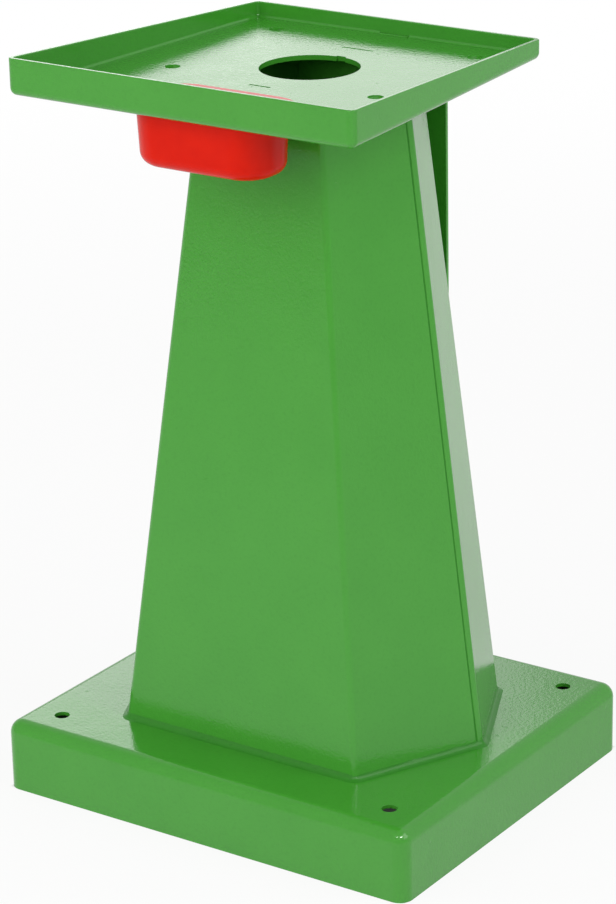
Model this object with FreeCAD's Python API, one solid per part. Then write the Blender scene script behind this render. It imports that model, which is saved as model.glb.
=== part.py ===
import FreeCAD, Part
import math
import os

Vector = FreeCAD.Vector

# Bench grinder stand: a folded and welded pedestal. Millimetres, +X to the operator's right, +Y to the
# rear, +Z up. The origin is on the floor, under the middle of the base.

# Base pan, an inverted tray of sheet
base_width = 500.0
base_depth = 426.0
base_height = 77.0
base_sheet = 4.0
base_edge_radius = 15.0
anchor_spacing_x = 412.0
anchor_spacing_y = 341.0
anchor_hole = 16.0

# Column, six-sided and tapered, folded as a front shell and a rear shell
column_height = 681.0
column_sheet = 3.0
foot_front_width = 288.0
foot_seam_width = 418.0
foot_rear_width = 302.0
foot_front_y = -138.5
head_front_width = 143.0
head_seam_width = 228.0
head_rear_width = 150.0
head_front_y = -73.0
side_splay = 24.8
fold_radius = 8.0
seam_radius = 4.5
return_edge = 7.0
seam_gap = 1.4
seam_sink = 0.7
cable_outlet = 32.0
cable_outlet_height = 60.0

# Tray, narrower and lower towards the rear, its own middle a little to the left of the column's
tray_front_width = 406.0
tray_rear_width = 349.0
tray_depth = 385.0
tray_front_y = -209.0
tray_centre_x = -2.0
tray_sheet = 5.0
tray_front_rim = 38.0
tray_rear_rim = 21.0
tray_corner_radius = 8.0
tray_bend_radius = 8.0
grinder_spacing_x = 242.0
grinder_spacing_y = 182.0
grinder_centre_y = 41.0
grinder_hole = 16.0
cable_hole = 102.0
cable_hole_y = 15.5
notch_width = 11.5
notch_depth = 2.5
notch_offset = 3.0

# Tabs that locate the column and the rear panel in slots of the tray
front_tab_width = 24.0
rear_tab_width = 36.0
panel_tab_width = 35.0
tab_sink = 0.4
panel_tab_rise = 1.2
slot_clearance = 0.3

# Rear panel, a flat plate with a leg turned in to the column
panel_width = 129.0
panel_sheet = 4.0
panel_drop = 278.0
panel_bend_radius = 8.0

# Coolant cup, hung by its lip in the tray, on the tray's own middle line
cup_width = 158.0
cup_depth = 79.0
cup_centre_y = -148.5
cup_height = 63.5
cup_corner_radius = 34.0
cup_foot_radius = 13.0
cup_wall = 2.0
cup_draft = 2.0
cup_lip = 8.0
cup_lip_sheet = 2.0
cup_lip_chamfer = 0.7
cup_clearance = 2.0

# Weld beads
foot_weld_leg = 7.0
head_weld_leg = 5.0
panel_weld_leg = 4.0
corner_weld_width = 3.0
weld_toe = 0.3

# Levels and lines that follow from the sizes above
floor_level = 0.0
foot_level = floor_level + base_height
head_level = foot_level + column_height
tray_floor = head_level + tray_sheet
tray_rear_y = tray_front_y + tray_depth
panel_rear_y = tray_rear_y - tray_sheet
panel_front_y = panel_rear_y - panel_sheet
splay_slope = math.tan(math.radians(side_splay))

# How far a cutting solid runs past what it cuts, and how close two levels are to count as one
beyond = 50.0
just_past = 1.0
rough_rim = head_level + tray_front_rim + just_past
level_tolerance = 0.001


# Outlines: lists of plan points, anticlockwise seen from above

def inset_outline(corners, distances):
    """Each side moved inwards by its own distance, side i running from corner i to the next one."""
    sides = []
    for i, start in enumerate(corners):
        end = corners[(i + 1) % len(corners)]
        along = (end - start).normalize()
        inwards = Vector(-along.y, along.x, 0)
        sides.append((start + inwards * distances[i], along))
    moved = []
    for i, (point, along) in enumerate(sides):
        last_point, last_along = sides[i - 1]
        gap = point - last_point
        turn = last_along.x * along.y - last_along.y * along.x
        step = (gap.x * along.y - gap.y * along.x) / turn
        moved.append(last_point + last_along * step)
    return moved


def rounded_wire(corners, radii, level):
    """The outline at a level, each corner turned by an arc of its own radius."""
    starts = []
    ends = []
    edges = []
    lift = Vector(0, 0, level)
    for i, corner in enumerate(corners):
        before = (corners[i - 1] - corner).normalize()
        after = (corners[(i + 1) % len(corners)] - corner).normalize()
        half_angle = before.getAngle(after) / 2
        reach = radii[i] / math.tan(half_angle)
        bisector = (before + after).normalize()
        centre = corner + bisector * (radii[i] / math.sin(half_angle))
        starts.append(corner + before * reach + lift)
        ends.append(corner + after * reach + lift)
        middle = centre - bisector * radii[i] + lift
        edges.append(Part.Arc(starts[i], middle, ends[i]).toShape())
    for i in range(len(corners)):
        edges.append(Part.makeLine(ends[i - 1], starts[i]))
    return Part.Wire(Part.__sortEdges__(edges))


def rectangle(width, depth, centre_x=0.0, centre_y=0.0):
    left = centre_x - width / 2
    right = centre_x + width / 2
    front = centre_y - depth / 2
    rear = centre_y + depth / 2
    return [Vector(left, front, 0), Vector(right, front, 0), Vector(right, rear, 0), Vector(left, rear, 0)]


def loft(low_wire, high_wire):
    return Part.makeLoft([low_wire, high_wire], True, True)


def raised(wire, height):
    return Part.Face(wire).extrude(Vector(0, 0, height))


def box(x_low, x_high, y_low, y_high, z_low, z_high):
    size = Vector(x_high - x_low, y_high - y_low, z_high - z_low)
    return Part.makeBox(size.x, size.y, size.z, Vector(x_low, y_low, z_low))


def bent_section(at, end, wall, sheet, bend, floor, rim):
    """A bent sheet seen end on: its floor runs from end to the bend, and its wall from there to the rim.

    at(distance, level) places a point. The wall's outer face is at distance wall, bend the outer radius.
    """
    rise = 1 if rim > floor else -1
    hub = wall - bend
    hub_level = floor + rise * bend
    inner = bend - sheet
    turn = math.sqrt(0.5)
    floor_back = floor + rise * sheet
    outer_middle = at(hub + bend * turn, hub_level - rise * bend * turn)
    inner_middle = at(hub + inner * turn, hub_level - rise * inner * turn)
    outer_arc = Part.Arc(at(hub, floor), outer_middle, at(wall, hub_level))
    inner_arc = Part.Arc(at(wall - sheet, hub_level), inner_middle, at(hub, floor_back))
    edges = [outer_arc.toShape(), Part.makeLine(at(wall, hub_level), at(wall, rim)),
             Part.makeLine(at(wall, rim), at(wall - sheet, rim)),
             Part.makeLine(at(wall - sheet, rim), at(wall - sheet, hub_level)), inner_arc.toShape()]
    if hub > end + level_tolerance:
        edges += [Part.makeLine(at(hub, floor_back), at(end, floor_back)),
                  Part.makeLine(at(end, floor_back), at(end, floor)),
                  Part.makeLine(at(end, floor), at(hub, floor))]
    else:
        edges.append(Part.makeLine(at(hub, floor_back), at(hub, floor)))
    return Part.Face(Part.Wire(edges))


def edges_at_level(solid, level):
    """Edges that lie wholly in one horizontal plane."""
    found = []
    for edge in solid.Edges:
        bounds = edge.BoundBox
        if abs(bounds.ZMin - level) < level_tolerance and abs(bounds.ZMax - level) < level_tolerance:
            found.append(edge)
    return found


def holes_on_pattern(spacing_x, spacing_y, centre_y, diameter, low, high):
    holes = []
    for x in (-spacing_x / 2, spacing_x / 2):
        for y in (-spacing_y / 2, spacing_y / 2):
            foot = Vector(x, centre_y + y, low)
            holes.append(Part.makeCylinder(diameter / 2, high - low, foot))
    return holes


# Column geometry

def column_outline(front_width, seam_width, rear_width, front_y):
    """Six corners of the column: front folds, right seam, rear folds, left seam."""
    seam_y = front_y + (seam_width - front_width) / 2 / splay_slope
    rear_y = seam_y + (seam_width - rear_width) / 2 / splay_slope
    right = [Vector(front_width / 2, front_y, 0), Vector(seam_width / 2, seam_y, 0),
             Vector(rear_width / 2, rear_y, 0)]
    left = [Vector(-corner.x, corner.y, 0) for corner in reversed(right)]
    return [left[-1]] + right + left[:-1]


foot_outline = column_outline(foot_front_width, foot_seam_width, foot_rear_width, foot_front_y)
head_outline = column_outline(head_front_width, head_seam_width, head_rear_width, head_front_y)
column_radii = [fold_radius, fold_radius, seam_radius, fold_radius, fold_radius, seam_radius]


def column_corners(level, inset=0.0):
    """The column's outline at a level, with every leaning wall moved inwards by inset."""
    share = (level - foot_level) / column_height
    corners = [foot + (head - foot) * share for foot, head in zip(foot_outline, head_outline)]
    distances = []
    for i, foot in enumerate(foot_outline):
        along = (foot_outline[(i + 1) % len(foot_outline)] - foot).normalize()
        lean = head_outline[i] - foot
        run = along.x * lean.y - along.y * lean.x
        distances.append(inset * math.hypot(run, column_height) / column_height)
    return inset_outline(corners, distances)


def column_ring(level, inset=0.0):
    return [corner + Vector(0, 0, level) for corner in column_corners(level, inset)]


def frustum(low_ring, high_ring, radii):
    """Flat walls between two rings of corners, each upright edge turned by its own radius."""
    outlines = [low_ring[::-1], high_ring]
    for i in range(len(low_ring)):
        outlines.append([low_ring[i - 1], low_ring[i], high_ring[i], high_ring[i - 1]])
    faces = [Part.Face(Part.makePolygon(outline + outline[:1])) for outline in outlines]
    solid = Part.makeSolid(Part.makeShell(faces))
    for low_corner, high_corner, radius in zip(low_ring, high_ring, radii):
        middle = Part.Vertex((low_corner + high_corner) / 2)
        bend = min(solid.Edges, key=lambda edge: edge.distToShape(middle)[0])
        solid = solid.makeFillet(radius, [bend])
    return solid


def column_body(low, high, inset=0.0):
    """A length of the column, its walls moved inwards by inset."""
    radii = [radius - inset for radius in column_radii]
    return frustum(column_ring(low, inset), column_ring(high, inset), radii)


def wall_y(level, corner):
    """The y of the front wall (corner 0) or the rear wall (corner 3) at a level."""
    return column_corners(level)[corner].y


def seam_strip(seam, fold):
    """A slab across the side wall, where the gap between the two shells runs down beside the seam."""
    outlines = []
    for level in (foot_level, head_level):
        corners = column_corners(level)
        along = (corners[fold] - corners[seam]).normalize()
        across = Vector(along.y, -along.x, 0)
        near = corners[seam] + along * (return_edge - seam_gap / 2)
        far = near + along * seam_gap
        reach = across * (2 * column_sheet)
        points = [near - reach, far - reach, far + reach, near + reach, near - reach]
        outlines.append(Part.makePolygon([point + Vector(0, 0, level) for point in points]))
    return loft(*outlines)


seam_strips = {"right": seam_strip(2, 1), "left": seam_strip(5, 0)}


def column_shells():
    """The front shell and the rear shell, with the locating tabs left standing at the head."""
    tab_top = tray_floor - tab_sink
    tube = column_body(foot_level, tab_top).cut(column_body(foot_level, tab_top, column_sheet))
    reach = head_seam_width
    trim = box(-reach, reach, -reach, reach, head_level, tab_top + beyond)
    front_half = front_tab_width / 2
    rear_half = rear_tab_width / 2
    trim = trim.cut(box(-front_half, front_half, -reach, 0, head_level, tab_top + beyond))
    trim = trim.cut(box(-rear_half, rear_half, 0, reach, head_level, tab_top + beyond))
    tube = tube.cut(trim)
    outlet_level = foot_level + cable_outlet_height
    outlet = Part.makeCylinder(cable_outlet / 2, base_depth, Vector(0, 0, outlet_level), Vector(0, 1, 0))
    tube = tube.cut(outlet)
    tube = tube.cut(seam_strips["right"]).cut(seam_strips["left"])
    front, rear = sorted(tube.Solids, key=lambda solid: solid.CenterOfMass.y)
    return front, rear


def seam_weld(side):
    """The bead that fills the gap between the shells, a little below their outer faces."""
    sunk = column_body(foot_level, head_level, seam_sink)
    wall = sunk.cut(column_body(foot_level, head_level, column_sheet))
    return wall.common(seam_strips[side])


def ring_weld(level, leg, upwards):
    """A fillet bead round the column: one leg on the wall, the other on the plate."""
    tip = level + leg if upwards else level - leg
    plate_ring = column_ring(level, -leg)
    tip_ring = column_ring(tip, -weld_toe)
    low, high = (plate_ring, tip_ring) if upwards else (tip_ring, plate_ring)
    ring = frustum(low, high, [radius + weld_toe for radius in column_radii])
    return ring.cut(column_body(min(level, tip) - just_past, max(level, tip) + just_past))


# Base

def base_shell():
    def block(inset, top):
        across = base_width / 2 - inset
        along = base_depth / 2 - inset
        radius = base_edge_radius - inset
        solid = box(-across, across, -along, along, floor_level, top)
        upright = [edge for edge in solid.Edges if edge.BoundBox.ZLength > level_tolerance]
        solid = solid.makeFillet(radius, upright)
        return solid.makeFillet(radius, edges_at_level(solid, top))

    pan = block(0.0, foot_level).cut(block(base_sheet, foot_level - base_sheet))
    for hole in holes_on_pattern(anchor_spacing_x, anchor_spacing_y, 0.0, anchor_hole,
                                 foot_level - beyond, foot_level + just_past):
        pan = pan.cut(hole)
    return pan


def corner_wedge(centre, outwards, radius, start, low, high):
    """An upright wedge about a corner's own axis, as wide as the weld where it leaves the corner."""
    half_angle = math.asin(corner_weld_width / 2 / radius)
    middle = math.atan2(outwards.y, outwards.x)
    rays = []
    for angle in (middle - half_angle, middle + half_angle):
        rays.append(Vector(math.cos(angle), math.sin(angle), 0))
    points = [centre + rays[0] * start, centre + rays[0] * beyond,
              centre + rays[1] * beyond, centre + rays[1] * start]
    points = [point + Vector(0, 0, low) for point in points]
    return raised(Part.makePolygon(points + points[:1]), high - low)


def split_corners(pan, outline, radius, bend, sheet, floor, rim):
    """Opens a pan's corners and fills them with welds ground flat. Returns the pan and its welds by name."""
    names = ["front_left", "front_right", "rear_right", "rear_left"]
    welds = {}
    for i, name in enumerate(names):
        before = (outline[i - 1] - outline[i]).normalize()
        after = (outline[(i + 1) % len(outline)] - outline[i]).normalize()
        outwards = (before + after).normalize() * -1
        centre = outline[i] - outwards * (radius / math.sin(before.getAngle(after) / 2))
        wedge = corner_wedge(centre, outwards, radius, sheet / 2, min(floor, rim), max(floor, rim))
        across = Vector(-outwards.y, outwards.x, 0)

        def at(distance, level):
            return centre + outwards * distance - across * corner_weld_width + Vector(0, 0, level)

        section = bent_section(at, 0.0, radius, sheet, bend, floor, rim)
        welds[name] = section.extrude(across * (2 * corner_weld_width)).common(wedge)
        pan = pan.cut(wedge)
    return pan, welds


# Tray

def tray_outline():
    front_half = tray_front_width / 2
    rear_half = tray_rear_width / 2
    corners = [Vector(-front_half, tray_front_y, 0), Vector(front_half, tray_front_y, 0),
               Vector(rear_half, tray_rear_y, 0), Vector(-rear_half, tray_rear_y, 0)]
    return [corner + Vector(tray_centre_x, 0, 0) for corner in corners]


def tray_shell():
    """The tray with its upstand a little too high, to be trimmed by above_rim."""
    def block(inset, low, bend):
        outline = inset_outline(tray_outline(), [inset] * 4)
        corner = tray_corner_radius - inset
        solid = raised(rounded_wire(outline, [corner] * 4, low), rough_rim - low)
        return solid.makeFillet(bend, edges_at_level(solid, low))

    tray = block(0.0, head_level, tray_bend_radius)
    return tray.cut(block(tray_sheet, tray_floor, tray_bend_radius - tray_sheet))


def above_rim():
    """Everything above the upstand's edge, which falls from the front to the rear."""
    slope = (tray_front_rim - tray_rear_rim) / tray_depth
    front_y = tray_front_y - beyond
    rear_y = tray_rear_y + beyond
    front_z = head_level + tray_front_rim + beyond * slope
    rear_z = head_level + tray_rear_rim - beyond * slope
    reach = tray_front_width
    points = [Vector(-reach, front_y, front_z), Vector(-reach, rear_y, rear_z),
              Vector(-reach, rear_y, front_z + beyond), Vector(-reach, front_y, front_z + beyond)]
    return Part.Face(Part.makePolygon(points + points[:1])).extrude(Vector(2 * reach, 0, 0))


def tray_openings():
    """Everything that is cut through the tray's floor."""
    low = head_level - just_past
    high = tray_floor + just_past
    cuts = holes_on_pattern(grinder_spacing_x, grinder_spacing_y, grinder_centre_y, grinder_hole, low, high)
    cuts.append(Part.makeCylinder(cable_hole / 2, high - low, Vector(0, cable_hole_y, low)))
    notch_rear = cable_hole_y + cable_hole / 2 + notch_depth
    cuts.append(box(notch_offset - notch_width / 2, notch_offset + notch_width / 2,
                    cable_hole_y, notch_rear, low, high))

    well_width = cup_width + 2 * cup_clearance
    well_depth = cup_depth + 2 * cup_clearance
    well = rectangle(well_width, well_depth, tray_centre_x, cup_centre_y)
    well_radius = cup_corner_radius + cup_clearance
    cuts.append(raised(rounded_wire(well, [well_radius] * 4, low), high - low))

    wall = column_sheet + slot_clearance
    front_half = front_tab_width / 2 + slot_clearance
    cuts.append(box(-front_half, front_half, wall_y(head_level, 0) - slot_clearance,
                    wall_y(tray_floor, 0) + wall, low, high))
    rear_half = rear_tab_width / 2 + slot_clearance
    cuts.append(box(-rear_half, rear_half, wall_y(tray_floor, 3) - wall,
                    wall_y(head_level, 3) + slot_clearance, low, high))
    panel_half = panel_tab_width / 2 + slot_clearance
    cuts.append(box(-panel_half, panel_half, panel_front_y - slot_clearance, panel_rear_y,
                    low, tray_floor + tray_bend_radius))
    return cuts


# Rear panel

def rear_panel():
    """The plate, its tab up through the tray and its leg turned in to the column's rear wall."""
    leg_low = head_level - panel_drop - panel_bend_radius
    leg_top = leg_low + panel_sheet

    def at(y, z):
        return Vector(-panel_width / 2, y, z)

    section = bent_section(at, 0.0, panel_rear_y, panel_sheet, panel_bend_radius, leg_low, head_level)
    plate = section.extrude(Vector(panel_width, 0, 0))
    plate = plate.cut(column_body(leg_low - beyond, leg_top + beyond))
    tab_half = panel_tab_width / 2
    tab = box(-tab_half, tab_half, panel_front_y, panel_rear_y, head_level, tray_floor + panel_tab_rise)
    return plate.fuse(tab).removeSplitter(), leg_top


def bead(points, half):
    """A straight three-sided bead along X, from its corners in the YZ plane."""
    corners = [Vector(-half, y, z) for y, z in points]
    return Part.Face(Part.makePolygon(corners + corners[:1])).extrude(Vector(2 * half, 0, 0))


def panel_head_weld():
    leg = panel_weld_leg
    points = [(panel_front_y, head_level), (panel_front_y - leg, head_level),
              (panel_front_y, head_level - leg)]
    return bead(points, panel_width / 2)


def panel_foot_weld(leg_top):
    leg = panel_weld_leg
    wall = wall_y(leg_top, 3)
    points = [(wall - leg, leg_top), (wall + leg, leg_top), (wall - leg, leg_top + 2 * leg)]
    solid = bead(points, panel_width / 2)
    return solid.cut(column_body(leg_top - beyond, leg_top + beyond))


# Coolant cup

def coolant_cup():
    lip_top = tray_floor + cup_lip_sheet
    foot = tray_floor - cup_height
    narrowing = math.tan(math.radians(cup_draft)) * (lip_top - foot)

    def vessel(inset, low):
        outlines = []
        for level, draw in ((low, narrowing), (lip_top, 0.0)):
            width = cup_width - 2 * (inset + draw)
            depth = cup_depth - 2 * (inset + draw)
            radius = cup_corner_radius - inset - draw
            corners = rectangle(width, depth, tray_centre_x, cup_centre_y)
            outlines.append(rounded_wire(corners, [radius] * 4, level))
        return loft(*outlines)

    outside = vessel(0.0, foot)
    outside = outside.makeFillet(cup_foot_radius, edges_at_level(outside, foot))
    inside = vessel(cup_wall, foot + cup_wall)
    inside = inside.makeChamfer(cup_foot_radius - cup_wall, edges_at_level(inside, foot + cup_wall))
    corners = rectangle(cup_width + 2 * cup_lip, cup_depth + 2 * cup_lip, tray_centre_x, cup_centre_y)
    radius = cup_corner_radius + cup_lip
    lip = raised(rounded_wire(corners, [radius] * 4, tray_floor), cup_lip_sheet)
    lip = lip.makeChamfer(cup_lip_chamfer, edges_at_level(lip, lip_top))
    return outside.fuse(lip).removeSplitter().cut(inside)


def build():
    nodes = {}
    pan, welds = split_corners(base_shell(), rectangle(base_width, base_depth), base_edge_radius,
                               base_edge_radius, base_sheet, foot_level, floor_level)
    nodes["base_pan"] = pan
    for name, weld in welds.items():
        nodes["base_corner_weld_" + name] = weld

    nodes["column_front_shell"], nodes["column_rear_shell"] = column_shells()
    for side in seam_strips:
        nodes["column_seam_weld_" + side] = seam_weld(side)
    nodes["foot_weld"] = ring_weld(foot_level, foot_weld_leg, True)
    nodes["head_weld"] = ring_weld(head_level, head_weld_leg, False)

    tray, welds = split_corners(tray_shell(), tray_outline(), tray_corner_radius, tray_bend_radius,
                                tray_sheet, head_level, rough_rim)
    for cut in tray_openings() + [above_rim()]:
        tray = tray.cut(cut)
    nodes["tray"] = tray
    for name, weld in welds.items():
        nodes["tray_corner_weld_" + name] = weld.cut(above_rim())

    nodes["rear_panel"], leg_top = rear_panel()
    nodes["panel_head_weld"] = panel_head_weld()
    nodes["panel_foot_weld"] = panel_foot_weld(leg_top)
    nodes["coolant_cup"] = coolant_cup()
    return nodes


os.makedirs("parts", exist_ok=True)
for name, shape in build().items():
    print(name, "solids", len(shape.Solids), "valid", shape.isValid(), "volume", round(shape.Volume))
    shape.exportStep("parts/" + name + ".step")
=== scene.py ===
import bpy
import bmesh
import math
from mathutils import Matrix, Vector, noise


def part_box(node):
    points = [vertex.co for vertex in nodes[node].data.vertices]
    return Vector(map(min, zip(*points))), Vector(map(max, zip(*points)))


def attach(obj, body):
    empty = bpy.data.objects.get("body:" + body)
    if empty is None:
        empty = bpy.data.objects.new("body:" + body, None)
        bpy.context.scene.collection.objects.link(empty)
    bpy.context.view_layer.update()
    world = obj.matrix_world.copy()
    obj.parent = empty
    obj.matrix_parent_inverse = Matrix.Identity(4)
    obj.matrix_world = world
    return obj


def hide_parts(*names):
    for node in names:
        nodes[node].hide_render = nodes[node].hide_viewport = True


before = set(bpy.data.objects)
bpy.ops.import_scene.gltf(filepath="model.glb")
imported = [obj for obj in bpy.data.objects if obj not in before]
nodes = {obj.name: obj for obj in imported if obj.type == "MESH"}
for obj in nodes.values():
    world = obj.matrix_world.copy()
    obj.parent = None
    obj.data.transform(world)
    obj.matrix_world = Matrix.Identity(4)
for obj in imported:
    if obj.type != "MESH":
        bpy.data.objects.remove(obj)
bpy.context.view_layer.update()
scene = bpy.context.scene
mm = 0.001
print("frame loaded with", len(nodes), "nodes")


# shader maths: a Wire is one socket, and sums or products of Wires add their own Math nodes

class Wire:
    def __init__(self, owner, socket):
        self.owner = owner
        self.socket = socket

    def math(self, operation, first, second):
        return self.owner.add("ShaderNodeMath", {"operation": operation}, {0: first, 1: second})

    def __add__(self, other):
        return self.math("ADD", self, other)

    def __radd__(self, other):
        return self.math("ADD", other, self)

    def __sub__(self, other):
        return self.math("SUBTRACT", self, other)

    def __rsub__(self, other):
        return self.math("SUBTRACT", other, self)

    def __mul__(self, other):
        return self.math("MULTIPLY", self, other)

    def __rmul__(self, other):
        return self.math("MULTIPLY", other, self)


class Shading:
    # builds one node tree, a node at a time
    def __init__(self, tree):
        self.tree = tree
        tree.nodes.clear()

    def add(self, kind, settings=None, sockets=None, output=0):
        node = self.tree.nodes.new(kind)
        for key, value in (settings or {}).items():
            if key == "stops":
                ramp = node.color_ramp.elements
                while len(ramp) < len(value):
                    ramp.new(0.5)
                for element, (position, shade) in zip(ramp, value):
                    element.position = position
                    element.color = (shade, shade, shade, 1.0)
            else:
                setattr(node, key, value)
        for key, value in (sockets or {}).items():
            if isinstance(value, Wire):
                self.tree.links.new(value.socket, node.inputs[key])
            else:
                node.inputs[key].default_value = value
        return Wire(self, node.outputs[output]) if node.outputs else None

    def place(self):
        return self.add("ShaderNodeTexCoord", output="Object")

    def along(self, place, axis):
        return self.add("ShaderNodeSeparateXYZ", None, {"Vector": place}, axis)

    def ray(self, kind):
        return self.add("ShaderNodeLightPath", output=kind)

    def noise(self, place, size, detail=2.0, roughness=0.5):
        # size is about the width of one blotch, in metres
        sockets = {"Vector": place, "Scale": 1 / size, "Detail": detail, "Roughness": roughness}
        return self.add("ShaderNodeTexNoise", {"noise_dimensions": "3D"}, sockets)

    def stepped(self, value, low, high):
        # 0 below low, 1 above high, eased between
        sockets = {"Value": value, "From Min": low, "From Max": high}
        return self.add("ShaderNodeMapRange", {"interpolation_type": "SMOOTHSTEP"}, sockets)

    def positive(self, value):
        return self.add("ShaderNodeMath", {"operation": "ABSOLUTE"}, {0: value})

    def larger(self, first, second):
        return self.add("ShaderNodeMath", {"operation": "MAXIMUM"}, {0: first, 1: second})

    def mixed(self, factor, first, second):
        # a colour between two others
        sockets = {"Factor": factor, 6: first, 7: second}
        return self.add("ShaderNodeMix", {"data_type": "RGBA"}, sockets, 2)

    def bumped(self, height, distance, base=None):
        sockets = {"Strength": 1.0, "Distance": distance, "Height": height}
        if base:
            sockets["Normal"] = base
        return self.add("ShaderNodeBump", None, sockets)

    def glossy(self, colour, roughness, gloss, normal):
        return self.add("ShaderNodeBsdfPrincipled", None, {
            "Base Color": colour, "Roughness": roughness, "IOR": 1.5,
            "Specular IOR Level": gloss, "Normal": normal})


class Finish(Shading):
    # one material
    def __init__(self, name):
        self.material = bpy.data.materials.new(name)
        self.material.use_nodes = True
        super().__init__(self.material.node_tree)

    def done(self, shader):
        self.add("ShaderNodeOutputMaterial", None, {"Surface": shader})
        return self.material


def rgb(red, green, blue):
    # a colour as a screen shows it, 0 to 255, made linear
    parts = []
    for value in (red, green, blue):
        share = value / 255
        parts.append(share / 12.92 if share <= 0.04045 else ((share + 0.055) / 1.055) ** 2.4)
    return tuple(parts) + (1.0,)


white = (1.0, 1.0, 1.0, 1.0)
black = (0.0, 0.0, 0.0, 1.0)


# powder coat: glossy, with an orange peel of two widths and a rare grain of dust under it

powderCoat = {
    "green": rgb(70, 158, 50),
    "deepGreen": rgb(60, 148, 42),
    # painted shade for the peel's hollows: its darker green, how much of it, and where in the peel
    # it sets in
    "peelShade": rgb(34, 92, 26),
    "peelShadeShare": 0.05,
    "peelShadeHollows": (0.25, 0.45),
    "cloudWidth": 70 * mm,
    "cloudShare": 0.7,
    "roughness": 0.13,
    "roughnessSpread": 0.05,
    "gloss": 0.5,
    "peelWidth": 3.4 * mm,
    "peelHeight": 0.145 * mm,
    "finePeelWidth": 1.5 * mm,
    "finePeelHeight": 0.05 * mm,
    "waveWidth": 45 * mm,
    "waveHeight": 0.25 * mm,
    "dustWidth": 9 * mm,
    "dustHeight": 0.12 * mm,
    "dustPeaks": (0.83, 0.88),
}


def powderFinish(name, look):
    finish = Finish(name)
    place = finish.place()
    cloud = finish.noise(place, look["cloudWidth"], 2.0, 0.5)
    peel = finish.noise(place, look["peelWidth"], 1.0, 0.5)
    finePeel = finish.noise(place, look["finePeelWidth"], 0.0, 0.5)
    wave = finish.noise(place, look["waveWidth"], 1.0, 0.4)
    dust = finish.stepped(finish.noise(place, look["dustWidth"], 0.0, 0.5), *look["dustPeaks"])
    blend = cloud * look["cloudShare"] + peel * (1 - look["cloudShare"])
    colour = finish.mixed(blend, look["deepGreen"], look["green"])
    # painted shade: the colour is darkened a little in the hollows of the peel
    unshadedShare = finish.stepped(peel, *look["peelShadeHollows"])
    unshadedShare = unshadedShare * look["peelShadeShare"] + (1 - look["peelShadeShare"])
    colour = finish.mixed(unshadedShare, look["peelShade"], colour)
    normal = finish.bumped(wave, look["waveHeight"])
    normal = finish.bumped(peel, look["peelHeight"], normal)
    normal = finish.bumped(finePeel, look["finePeelHeight"], normal)
    normal = finish.bumped(dust, look["dustHeight"], normal)
    roughness = look["roughness"] + (cloud - 0.5) * look["roughnessSpread"]
    return finish.done(finish.glossy(colour, roughness, look["gloss"], normal))


greenPaint = powderFinish("powderCoatGreen", powderCoat)

# the same coat over a weld: duller, its green darkened as painted shade for the weaker light on the
# welds, and the bead's own ripples show through it

shadedWeldCoat = dict(powderCoat)
shadedWeldCoat.update({
    # painted shade: these greens are darker than the plain coat's, for the weaker light on the
    # welds
    "green": rgb(56, 140, 40),
    "deepGreen": rgb(46, 126, 34),
    "gloss": 0.22,
    "roughness": 0.24,
    "peelWidth": 4.2 * mm,
    "peelHeight": 0.12 * mm,
    "waveWidth": 12 * mm,
    "waveHeight": 0.4 * mm,
})
shadedWeldPaint = powderFinish("powderCoatOverWeldPaintedShade", shadedWeldCoat)


# moulded plastic of the cup: faint sink marks, a fine grain and dull scuffs

redMoulding = {
    "red": rgb(222, 28, 2),
    "deepRed": rgb(210, 20, 1),
    "cloudWidth": 18 * mm,
    "roughness": 0.09,
    "roughnessSpread": 0.03,
    "gloss": 0.12,
    "sinkWidth": 26 * mm,
    "sinkHeight": 0.22 * mm,
    "grainWidth": 1.4 * mm,
    "grainHeight": 0.008 * mm,
    "scuffWidth": 5 * mm,
    "scuffPeaks": (0.62, 0.74),
    "scuffRoughness": 0.08,
}


def plasticFinish(name, look):
    finish = Finish(name)
    place = finish.place()
    cloud = finish.noise(place, look["cloudWidth"], 2.0, 0.5)
    sink = finish.noise(place, look["sinkWidth"], 1.0, 0.4)
    grain = finish.noise(place, look["grainWidth"], 1.0, 0.5)
    scuff = finish.stepped(finish.noise(place, look["scuffWidth"], 3.0, 0.6), *look["scuffPeaks"])
    colour = finish.mixed(cloud, look["deepRed"], look["red"])
    normal = finish.bumped(grain, look["grainHeight"], finish.bumped(sink, look["sinkHeight"]))
    roughness = look["roughness"] + scuff * look["scuffRoughness"] + cloud * look["roughnessSpread"]
    return finish.done(finish.glossy(colour, roughness, look["gloss"], normal))


redPlastic = plasticFinish("mouldedRed", redMoulding)
print("finishes made")


# helpers for pieces

def addPiece(work, pieceName, material, body, replaced):
    # a finished piece from a bmesh: object at the origin, riding on a body, in place of CAD nodes
    mesh = bpy.data.meshes.new(pieceName)
    work.to_mesh(mesh)
    work.free()
    mesh.materials.append(material)
    piece = bpy.data.objects.new(pieceName, mesh)
    scene.collection.objects.link(piece)
    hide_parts(*replaced)
    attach(piece, body)
    return piece


def smoothed(work, turn):
    # shaded round, apart from edges that turn more than this
    for face in work.faces:
        face.smooth = True
    for edge in work.edges:
        edge.smooth = edge.is_manifold and edge.calc_face_angle(0) < turn


def eased(piece, width, segments, turn=None):
    # rounds the edges past a turn, or the marked ones when none is given
    bevel = piece.modifiers.new("eased", "BEVEL")
    bevel.width = width
    bevel.segments = segments
    bevel.limit_method = "ANGLE" if turn else "WEIGHT"
    if turn:
        bevel.angle_limit = turn
    bevel.use_clamp_overlap = True


def weighted(piece):
    modifier = piece.modifiers.new("weighted", "WEIGHTED_NORMAL")
    modifier.keep_sharp = True


def leftOpen(work):
    return [edge for edge in work.edges if edge.is_boundary]


# smooth-shaded copies of the sheet-metal nodes, their sharp edges eased as paint eases them

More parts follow.
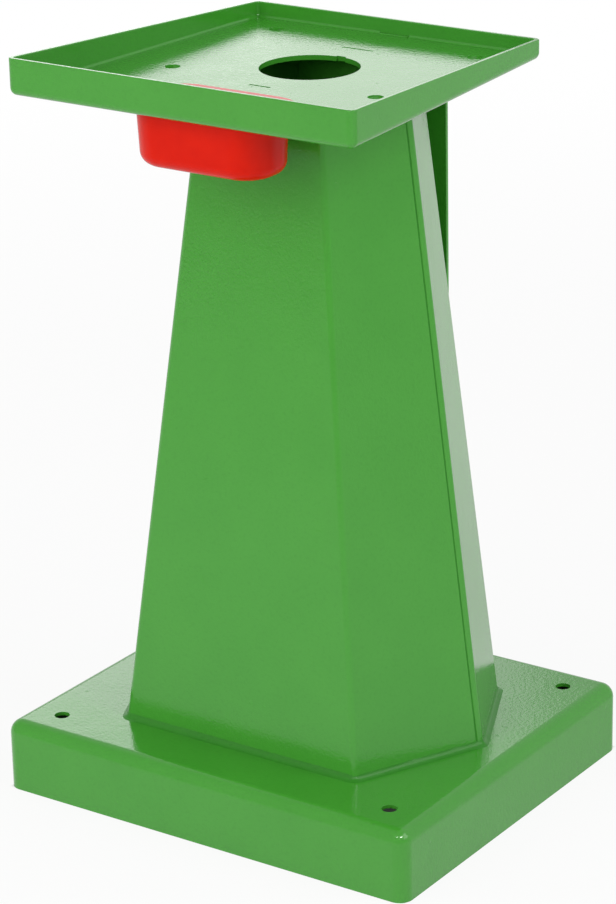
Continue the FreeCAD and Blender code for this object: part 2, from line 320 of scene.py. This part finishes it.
sheetMetal = {
    "merge": 0.004 * mm,
    "flat": math.radians(0.3),
    "turn": math.radians(28),
    "edgeWidth": 0.6 * mm,
    "edgeSegments": 2,
    "rimWidth": 1.0 * mm,
    "rimSegments": 3,
    "trayWallFrom": 7.9 * mm,    # above the tray's underside
    "trayRimFrom": 15 * mm,
    "jointMargin": 0.3 * mm,     # round the box of a ground weld
    "jointFacing": 0.4,          # a joint's face looks along the wall, hardly outwards or up
}
corners = ["front_left", "front_right", "rear_right", "rear_left"]


def copied(nodeName):
    # a CAD node's loose triangles, merged
    work = bmesh.new()
    work.from_mesh(nodes[nodeName].data)
    bmesh.ops.remove_doubles(work, verts=work.verts, dist=sheetMetal["merge"])
    return work


def flattened(work, verts, edges):
    # triangles that lie level with each other become whole faces
    bmesh.ops.dissolve_limit(work, angle_limit=sheetMetal["flat"], verts=verts, edges=edges)


def closeCorners(work, weldNames):
    # the pan's open corner is bridged from joint to joint, as its ground weld fills it
    margin = Vector((sheetMetal["jointMargin"],) * 3)
    facing = sheetMetal["jointFacing"]
    for weldName in weldNames:
        low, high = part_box(weldName)
        centre = (low + high) / 2
        outwards = Vector((math.copysign(1, centre.x), math.copysign(1, centre.y), 0)).normalized()
        joints = []
        for face in work.faces:
            middle = face.calc_center_median()
            inside = all(a <= b <= c for a, b, c in zip(low - margin, middle, high + margin))
            if inside and abs(face.normal.dot(outwards)) < facing and abs(face.normal.z) < facing:
                joints.append(face)
        bmesh.ops.delete(work, geom=joints, context="FACES")
        bmesh.ops.bridge_loops(work, edges=leftOpen(work))
    print("edges left open:", len(leftOpen(work)))


def markEdges(work, lowest=-1.0):
    # bevel weight on the sharp edges, or only on those above a level
    layer = work.edges.layers.float.new("bevel_weight_edge")
    for edge in work.edges:
        level = (edge.verts[0].co.z + edge.verts[1].co.z) / 2
        if edge.is_manifold and edge.calc_face_angle(0) > sheetMetal["turn"] and level > lowest:
            edge[layer] = 1.0


def addBase():
    welds = ["base_corner_weld_" + corner for corner in corners]
    work = copied("base_pan")
    closeCorners(work, welds)
    flattened(work, work.verts, work.edges)
    markEdges(work)
    smoothed(work, sheetMetal["turn"])
    replaced = ["base_pan"] + welds
    piece = addPiece(work, "base_skin", greenPaint, "stand", replaced)
    eased(piece, sheetMetal["edgeWidth"], sheetMetal["edgeSegments"])
    weighted(piece)


def addTray():
    welds = ["tray_corner_weld_" + corner for corner in corners]
    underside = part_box("tray")[0].z
    work = copied("tray")
    closeCorners(work, welds)
    # the walls become whole faces, while the floor keeps its triangles round the holes
    wallFrom = underside + sheetMetal["trayWallFrom"]
    walls = [face for face in work.faces if min(vert.co.z for vert in face.verts) > wallFrom]
    wallVerts = dict.fromkeys(vert for face in walls for vert in face.verts)
    wallEdges = dict.fromkeys(edge for face in walls for edge in face.edges)
    flattened(work, list(wallVerts), list(wallEdges))
    markEdges(work, underside + sheetMetal["trayRimFrom"])
    smoothed(work, sheetMetal["turn"])
    piece = addPiece(work, "tray_skin", greenPaint, "stand", ["tray"] + welds)
    eased(piece, sheetMetal["rimWidth"], sheetMetal["rimSegments"])
    weighted(piece)


def addPlainSkin(nodeName, material, width=None):
    work = copied(nodeName)
    flattened(work, work.verts, work.edges)
    smoothed(work, sheetMetal["turn"])
    piece = addPiece(work, nodeName + "_skin", material, "stand", [nodeName])
    if width:
        eased(piece, width, sheetMetal["edgeSegments"], sheetMetal["turn"])
    weighted(piece)


addBase()
addTray()
for nodeName in ("column_front_shell", "column_rear_shell", "rear_panel"):
    addPlainSkin(nodeName, greenPaint, sheetMetal["edgeWidth"])
for nodeName in ("column_seam_weld_right", "column_seam_weld_left", "head_weld",
                 "panel_head_weld", "panel_foot_weld"):
    addPlainSkin(nodeName, shadedWeldPaint)
print("sheet metal dressed")


# foot weld: a soft cove round the column's foot, a little fuller at its corners

footWeld = {
    "leg": 5.8 * mm,
    "hollow": 0.182,             # how far the cove sags, as a share of its leg
    "steps": 7,
    "root": 1.2 * mm,            # how far it reaches into the wall
    "foldTurn": 13.8 * mm,
    "seamTurn": 10.3 * mm,
    "turnSegments": 8,
    "pieceLength": 6 * mm,
    "waver": 0.245 * mm,
    "waverWidth": 14 * mm,
    "lump": 0.175 * mm,
    "lumpReach": 8 * mm,
    "still": 0.3 * mm,           # this near the plate or the bead's top nothing wavers
    "smoothTurn": math.radians(50),
}

# the column's outline in millimetres: width in front, at the seams and behind, and its front's y
columnSizes = {
    "foot": (288.0, 418.0, 302.0, -138.5),
    "head": (143.0, 228.0, 150.0, -73.0),
    "footLevel": 77.0,
    "height": 681.0,
    "splay": math.radians(24.8),
}


def columnCorners(widths):
    # front folds, right seam, rear folds, left seam, anticlockwise, in millimetres
    front, seam, rear, frontY = widths
    seamY = frontY + (seam - front) / 2 / math.tan(columnSizes["splay"])
    rearY = seamY + (seam - rear) / 2 / math.tan(columnSizes["splay"])
    return [Vector((x / 2, y, 0)) for x, y in (
        (-front, frontY), (front, frontY), (seam, seamY),
        (rear, rearY), (-rear, rearY), (-seam, seamY))]


def columnRing(level, outset):
    # the six corners at a level in metres, each side moved outwards
    share = (level / mm - columnSizes["footLevel"]) / columnSizes["height"]
    foot = columnCorners(columnSizes["foot"])
    head = columnCorners(columnSizes["head"])
    ring = [(a + (b - a) * share) * mm for a, b in zip(foot, head)]
    moved = []
    for i, corner in enumerate(ring):
        before = (corner - ring[i - 1]).normalized()
        after = (ring[(i + 1) % 6] - corner).normalized()
        outBefore = Vector((before.y, -before.x, 0))
        outAfter = Vector((after.y, -after.x, 0))
        push = (outBefore + outAfter) / (1 + outBefore.dot(outAfter))
        moved.append(corner + push * outset + Vector((0, 0, level)))
    return moved


def reachOf(level, outward):
    # how far the column goes in one direction at a level
    return max(corner.xy.dot(outward.xy) for corner in columnRing(level, 0.0))


def layToe(work, base, look):
    # the bead's outline on the plate, which remembers the way out at each of its points
    sideways = work.verts.layers.float_vector.new("sideways")
    bmesh.ops.create_circle(work, cap_ends=True, segments=6, radius=1.0)
    toe = columnRing(base, look["leg"])
    for vert, corner in zip(work.verts, toe):
        vert.co = corner
    for i, turn in enumerate((look["foldTurn"], look["foldTurn"], look["seamTurn"]) * 2):
        # the tangent runs further along the sides where the corner is sharper
        inside = (toe[i - 1] - toe[i]).angle(toe[(i + 1) % 6] - toe[i])
        vert = min(work.verts, key=lambda item: (item.co - toe[i]).length)
        bmesh.ops.bevel(work, geom=[vert], offset=turn / math.tan(inside / 2), offset_type="OFFSET",
                        segments=look["turnSegments"], profile=0.5, affect="VERTICES", material=-1)
    longest = look["pieceLength"]
    for edge in [edge for edge in work.edges if edge.calc_length() > longest]:
        bmesh.ops.subdivide_edges(work, edges=[edge], cuts=int(edge.calc_length() / longest))
    bmesh.ops.delete(work, geom=list(work.faces), context="FACES_ONLY")
    for vert in work.verts:
        ends = [edge.other_vert(vert).co for edge in vert.link_edges]
        across = (ends[1] - ends[0]).normalized()
        side = Vector((across.y, -across.x, 0.0))
        vert[sideways] = side if side.dot(vert.co) > 0 else -side
    return sideways


def raiseBead(work, base, look, sideways):
    # up from the plate to the wall, sagging between, then into the wall and down again
    leg, steps = look["leg"], look["steps"]
    toe = list(work.edges)
    ring = toe
    level, out = base, leg
    for step in range(1, steps + 3):
        share = min(step / steps, 1.0)
        sag = math.sin(math.pi * share) * look["hollow"] * leg
        newLevel, newOut = base + share * leg - sag, (1 - share) * leg - sag
        if step > steps:
            newLevel, newOut = base + leg * (steps + 2 - step), -look["root"]
        run = bmesh.ops.extrude_edge_only(work, edges=ring)["geom"]
        ring = [item for item in run if isinstance(item, bmesh.types.BMEdge)]
        for vert in (item for item in run if isinstance(item, bmesh.types.BMVert)):
            outward = Vector(vert[sideways])
            lean = reachOf(newLevel, outward) - reachOf(level, outward)
            vert.co += outward * (lean + newOut - out)
            vert.co.z = newLevel
        level, out = newLevel, newOut
    bmesh.ops.bridge_loops(work, edges=toe + ring)


def ruffleBead(work, base, look, sideways):
    # the bead's face wavers, and swells where the torch turned
    turns = columnRing(base, look["leg"] * 0.5)
    lowest, highest = base + look["still"], base + look["leg"] - look["still"]
    for vert in work.verts:
        if lowest <= vert.co.z <= highest:
            push = noise.noise(vert.co / look["waverWidth"]) * look["waver"]
            near = min((vert.co.xy - corner.xy).length for corner in turns)
            push += look["lump"] * math.exp(-(near / look["lumpReach"]) ** 2)
            vert.co += Vector(vert[sideways]) * push + Vector((0, 0, push))


def addFootWeld(look):
    base = columnSizes["footLevel"] * mm
    work = bmesh.new()
    sideways = layToe(work, base, look)
    raiseBead(work, base, look, sideways)
    ruffleBead(work, base, look, sideways)
    work.verts.layers.float_vector.remove(sideways)
    bmesh.ops.recalc_face_normals(work, faces=work.faces)
    smoothed(work, look["smoothTurn"])
    addPiece(work, "foot_weld_bead", shadedWeldPaint, "stand", ["foot_weld"])


addFootWeld(footWeld)
print("foot weld laid")


# coolant cup: a drawn vessel with a flat lip, modelled on its inner face and thickened outwards

cup = {
    "width": 158 * mm,
    "depth": 79 * mm,
    "centre": Vector((-2 * mm, -148.5 * mm, 0)),
    "lipTop": 765 * mm,
    "foot": 699.5 * mm,
    "cornerRadius": 34 * mm,
    "cornerSegments": 14,
    "footRadius": 13 * mm,
    "footSegments": 7,
    "draft": math.radians(2),
    "wall": 2 * mm,
    "lip": 8 * mm,
    "throat": 1.6 * mm,
    "throatSegments": 3,
    "edgeWidth": 0.7 * mm,
    "edgeSegments": 2,
    "edgeTurn": math.radians(40),
}


def roundedOff(work, edges, radius, segments):
    bmesh.ops.bevel(work, geom=edges, offset=radius, offset_type="OFFSET", segments=segments,
                    profile=0.5, affect="EDGES", material=-1)


def addCup(look):
    height = look["lipTop"] - look["foot"] - look["wall"]
    middle = look["lipTop"] - height / 2
    work = bmesh.new()
    bmesh.ops.create_cube(work, size=1.0)
    inner = Vector((look["width"] - 2 * look["wall"], look["depth"] - 2 * look["wall"], height))
    bmesh.ops.scale(work, vec=inner, verts=work.verts)
    narrowing = math.tan(look["draft"]) * height
    for vert in work.verts:
        if vert.co.z < 0:
            vert.co.x -= math.copysign(narrowing, vert.co.x)
            vert.co.y -= math.copysign(narrowing, vert.co.y)
    bmesh.ops.translate(work, vec=look["centre"] + Vector((0, 0, middle)), verts=work.verts)
    top = max(work.faces, key=lambda face: face.calc_center_median().z)
    bmesh.ops.delete(work, geom=[top], context="FACES_ONLY")
    uprights = [edge for edge in work.edges
                if abs(edge.verts[0].co.z - edge.verts[1].co.z) > height / 2]
    roundedOff(work, uprights, look["cornerRadius"] - look["wall"], look["cornerSegments"])
    footEdges = [edge for edge in work.edges if max(vert.co.z for vert in edge.verts) < middle]
    roundedOff(work, footEdges, look["footRadius"] - look["wall"], look["footSegments"])
    # the lip runs out level from the mouth, the same width all round
    mouth = leftOpen(work)
    run = bmesh.ops.extrude_edge_only(work, edges=mouth)["geom"]
    coreX = look["width"] / 2 - look["cornerRadius"]
    coreY = look["depth"] / 2 - look["cornerRadius"]
    reach = look["cornerRadius"] + look["lip"]
    for vert in (item for item in run if isinstance(item, bmesh.types.BMVert)):
        flat = vert.co - look["centre"]
        core = Vector((max(-coreX, min(coreX, flat.x)), max(-coreY, min(coreY, flat.y)), flat.z))
        vert.co = look["centre"] + core + (flat - core).normalized() * reach
    throat = [edge for edge in mouth if edge.is_valid and not edge.is_boundary]
    roundedOff(work, throat, look["throat"], look["throatSegments"])
    bmesh.ops.recalc_face_normals(work, faces=work.faces)
    # the open shell has to face its own inside, since the wall grows the other way
    bottom = min(work.faces, key=lambda face: face.calc_center_median().z)
    if bottom.normal.z < 0:
        bmesh.ops.reverse_faces(work, faces=work.faces)
    for face in work.faces:
        face.smooth = True
    replaced = ["coolant_cup"]
    piece = addPiece(work, "coolant_cup_moulding", redPlastic, "cup", replaced)
    thick = piece.modifiers.new("wall", "SOLIDIFY")
    thick.thickness = look["wall"]
    thick.offset = -1.0
    thick.use_even_offset = True
    eased(piece, look["edgeWidth"], look["edgeSegments"], look["edgeTurn"])
    weighted(piece)


addCup(cup)
print("cup moulded")


# pale floor: whitened where it is seen or mirrored, but not under the base pan

floorLook = {
    "size": 12.0,
    "colour": (0.84, 0.84, 0.84, 1.0),
    "blotch": (0.87, 0.87, 0.87, 1.0),
    "blotchWidth": 0.4,
    "seenNear": 0.9,             # white near the stand, whose shadow shows in the rest
    "seenFade": (1.3, 3.2),
    # how bright the floor is in the paint, by the distance in front of the stand
    "mirrored": [(-1.2, 0.82), (-0.55, 0.74), (-0.25, 0.86), (0.0, 1.0), (1.4, 1.0), (1.95, 0.82),
                 (2.2, 0.84), (2.55, 1.0), (2.8, 0.94), (3.2, 0.76), (4.0, 0.6), (4.8, 0.4)],
    "mirroredReach": 6.0,
    "underBase": 0.03,
    "underEdge": 0.97,
}


def floorFinish(name, look):
    finish = Finish(name)
    place = finish.place()
    cameraRay = finish.ray("Is Camera Ray")
    glossyRay = finish.ray("Is Glossy Ray")
    across, along = finish.along(place, "X"), finish.along(place, "Y")
    halfWidth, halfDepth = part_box("base_pan")[1].xy
    wide = finish.positive(across) * (1 / halfWidth)
    deep = finish.positive(along) * (1 / halfDepth)
    clear = finish.stepped(finish.larger(wide, deep), look["underEdge"], 1.0)
    clear = clear * (1 - look["underBase"]) + look["underBase"]
    span = look["mirroredReach"] * 2
    stops = [(0.5 + away / span, level) for away, level in look["mirrored"]]
    mirrored = finish.add("ShaderNodeValToRGB", {"stops": stops}, {"Fac": 0.5 - along * (1 / span)})
    far = finish.add("ShaderNodeVectorMath", {"operation": "LENGTH"}, {0: place}, "Value")
    seen = finish.stepped(far, *look["seenFade"]) * (1 - look["seenNear"]) + look["seenNear"]
    pale = finish.mixed(finish.noise(place, look["blotchWidth"]), look["colour"], look["blotch"])
    # mirrored, the matt floor is black, so that only the glow counts
    shade = finish.mixed(glossyRay, pale, black)
    matt = finish.add("ShaderNodeBsdfDiffuse", None, {"Color": shade})
    glow = finish.add("ShaderNodeEmission", None, {"Color": white, "Strength": 1.0})
    share = (cameraRay * seen + glossyRay * mirrored) * clear
    return finish.done(finish.add("ShaderNodeMixShader", None, {0: share, 1: matt, 2: glow}))


def addFloor(look):
    work = bmesh.new()
    bmesh.ops.create_grid(work, x_segments=1, y_segments=1, size=look["size"])
    mesh = bpy.data.meshes.new("floor")
    work.to_mesh(mesh)
    work.free()
    mesh.materials.append(floorFinish("paleFloor", look))
    floor = bpy.data.objects.new("floor", mesh)
    scene.collection.objects.link(floor)


addFloor(floorLook)


# plain sky: white to the camera, and mirrored darker from in front and above

skyLook = {
    "level": 0.5,
    "mirrored": 0.9,
    "frontMirrored": 0.6,
    "turn": (-0.1, 0.35),
}


def addSky(look):
    world = bpy.data.worlds.new("studio")
    scene.world = world
    world.use_nodes = True
    sky = Shading(world.node_tree)
    behind = sky.stepped(sky.along(sky.place(), "Y"), *look["turn"])
    mirrored = behind * (look["mirrored"] - look["frontMirrored"]) + look["frontMirrored"]
    cameraRay = sky.ray("Is Camera Ray")
    glossyRay = sky.ray("Is Glossy Ray")
    plain = look["level"]
    level = plain + cameraRay * (1 - plain) + glossyRay * (mirrored - plain)
    glow = sky.add("ShaderNodeBackground", None, {"Color": white, "Strength": level})
    sky.add("ShaderNodeOutputWorld", None, {"Surface": glow})


addSky(skyLook)


# lamps: the sheen boxes behind and above whiten what lies level, as a studio's do, the key
# isn't mirrored, since rolled edges would draw it as a long pale line, and glints only sparkle

lamps = {
    "keyBox": {"place": (-0.6, -3.2, 1.9), "aim": (0.0, 0.0, 0.4), "size": (4.6, 3.2),
               "power": 78.0, "colour": (1.0, 0.97, 0.93), "lights": True, "mirrored": False},
    "fillBox": {"place": (3.1, 0.3, 2.5), "aim": (0.0, 0.0, 0.4), "size": (2.6, 2.4),
                "power": 49.0, "colour": white[:3], "lights": True, "mirrored": True},
    "sheenBox": {"place": (-2.7, 2.9, 1.9), "aim": (0.0, 0.0, 0.5), "size": (2.25, 1.5),
                 "power": 11.5, "colour": white[:3], "lights": True, "mirrored": True},
    "lowSheenBox": {"place": (-1.6, 1.6, 0.98), "aim": (-0.2, 0.0, 0.077), "size": (0.75, 0.4),
                    "power": 1.1, "colour": white[:3], "lights": True, "mirrored": True},
    "glintLamp": {"place": (0.7, -2.7, 2.7), "aim": (0.1, -0.2, 0.1), "size": (0.45, 0.45),
                  "power": 18.0, "colour": white[:3], "lights": False, "mirrored": True},
    "cornerGlintLamp": {"place": (2.3, -1.7, 2.6), "aim": (0.2, -0.2, 0.1), "size": (0.6, 0.6),
                        "power": 45.0, "colour": white[:3], "lights": False, "mirrored": True},
}


def addLamp(name, look):
    lamp = bpy.data.lights.new(name, "AREA")
    lamp.shape = "RECTANGLE"
    lamp.size, lamp.size_y = look["size"]
    lamp.energy = look["power"]
    lamp.color = look["colour"]
    holder = bpy.data.objects.new(name, lamp)
    away = (Vector(look["place"]) - Vector(look["aim"])).normalized()
    turned = away.to_track_quat("Z", "Y").to_matrix().to_4x4()
    holder.matrix_world = Matrix.Translation(look["place"]) @ turned
    holder.visible_camera = False
    holder.visible_diffuse = look["lights"]
    holder.visible_glossy = look["mirrored"]
    scene.collection.objects.link(holder)


for lampName, lampLook in lamps.items():
    addLamp(lampName, lampLook)


# camera

cameraLook = {
    "place": (1.84015, -2.66107, 1.57421),
    "yaw": 0.6044,
    "down": 0.3603,
    "roll": -0.0207,
    "lens": 133.2,
    "sensor": 36.0,
    "shift": (-0.00313, 0.00394),
    "farthest": 100.0,
}


def addCamera(look):
    camera = bpy.data.cameras.new("camera")
    camera.sensor_fit = "AUTO"
    camera.sensor_width = look["sensor"]
    camera.lens = look["lens"]
    camera.shift_x, camera.shift_y = look["shift"]
    camera.clip_end = look["farthest"]
    yaw, down, roll = look["yaw"], look["down"], look["roll"]
    ahead = Vector((-math.sin(yaw) * math.cos(down), math.cos(yaw) * math.cos(down),
                    -math.sin(down)))
    level = Vector((math.cos(yaw), math.sin(yaw), 0.0))
    upright = level.cross(ahead)
    right = math.cos(roll) * level + math.sin(roll) * upright
    up = math.cos(roll) * upright - math.sin(roll) * level
    turned = Matrix((right, up, -ahead)).transposed().to_4x4()
    holder = bpy.data.objects.new("camera", camera)
    holder.matrix_world = Matrix.Translation(look["place"]) @ turned
    scene.collection.objects.link(holder)
    scene.camera = holder


addCamera(cameraLook)
scene.view_settings.view_transform = "Standard"
print("studio and camera set")
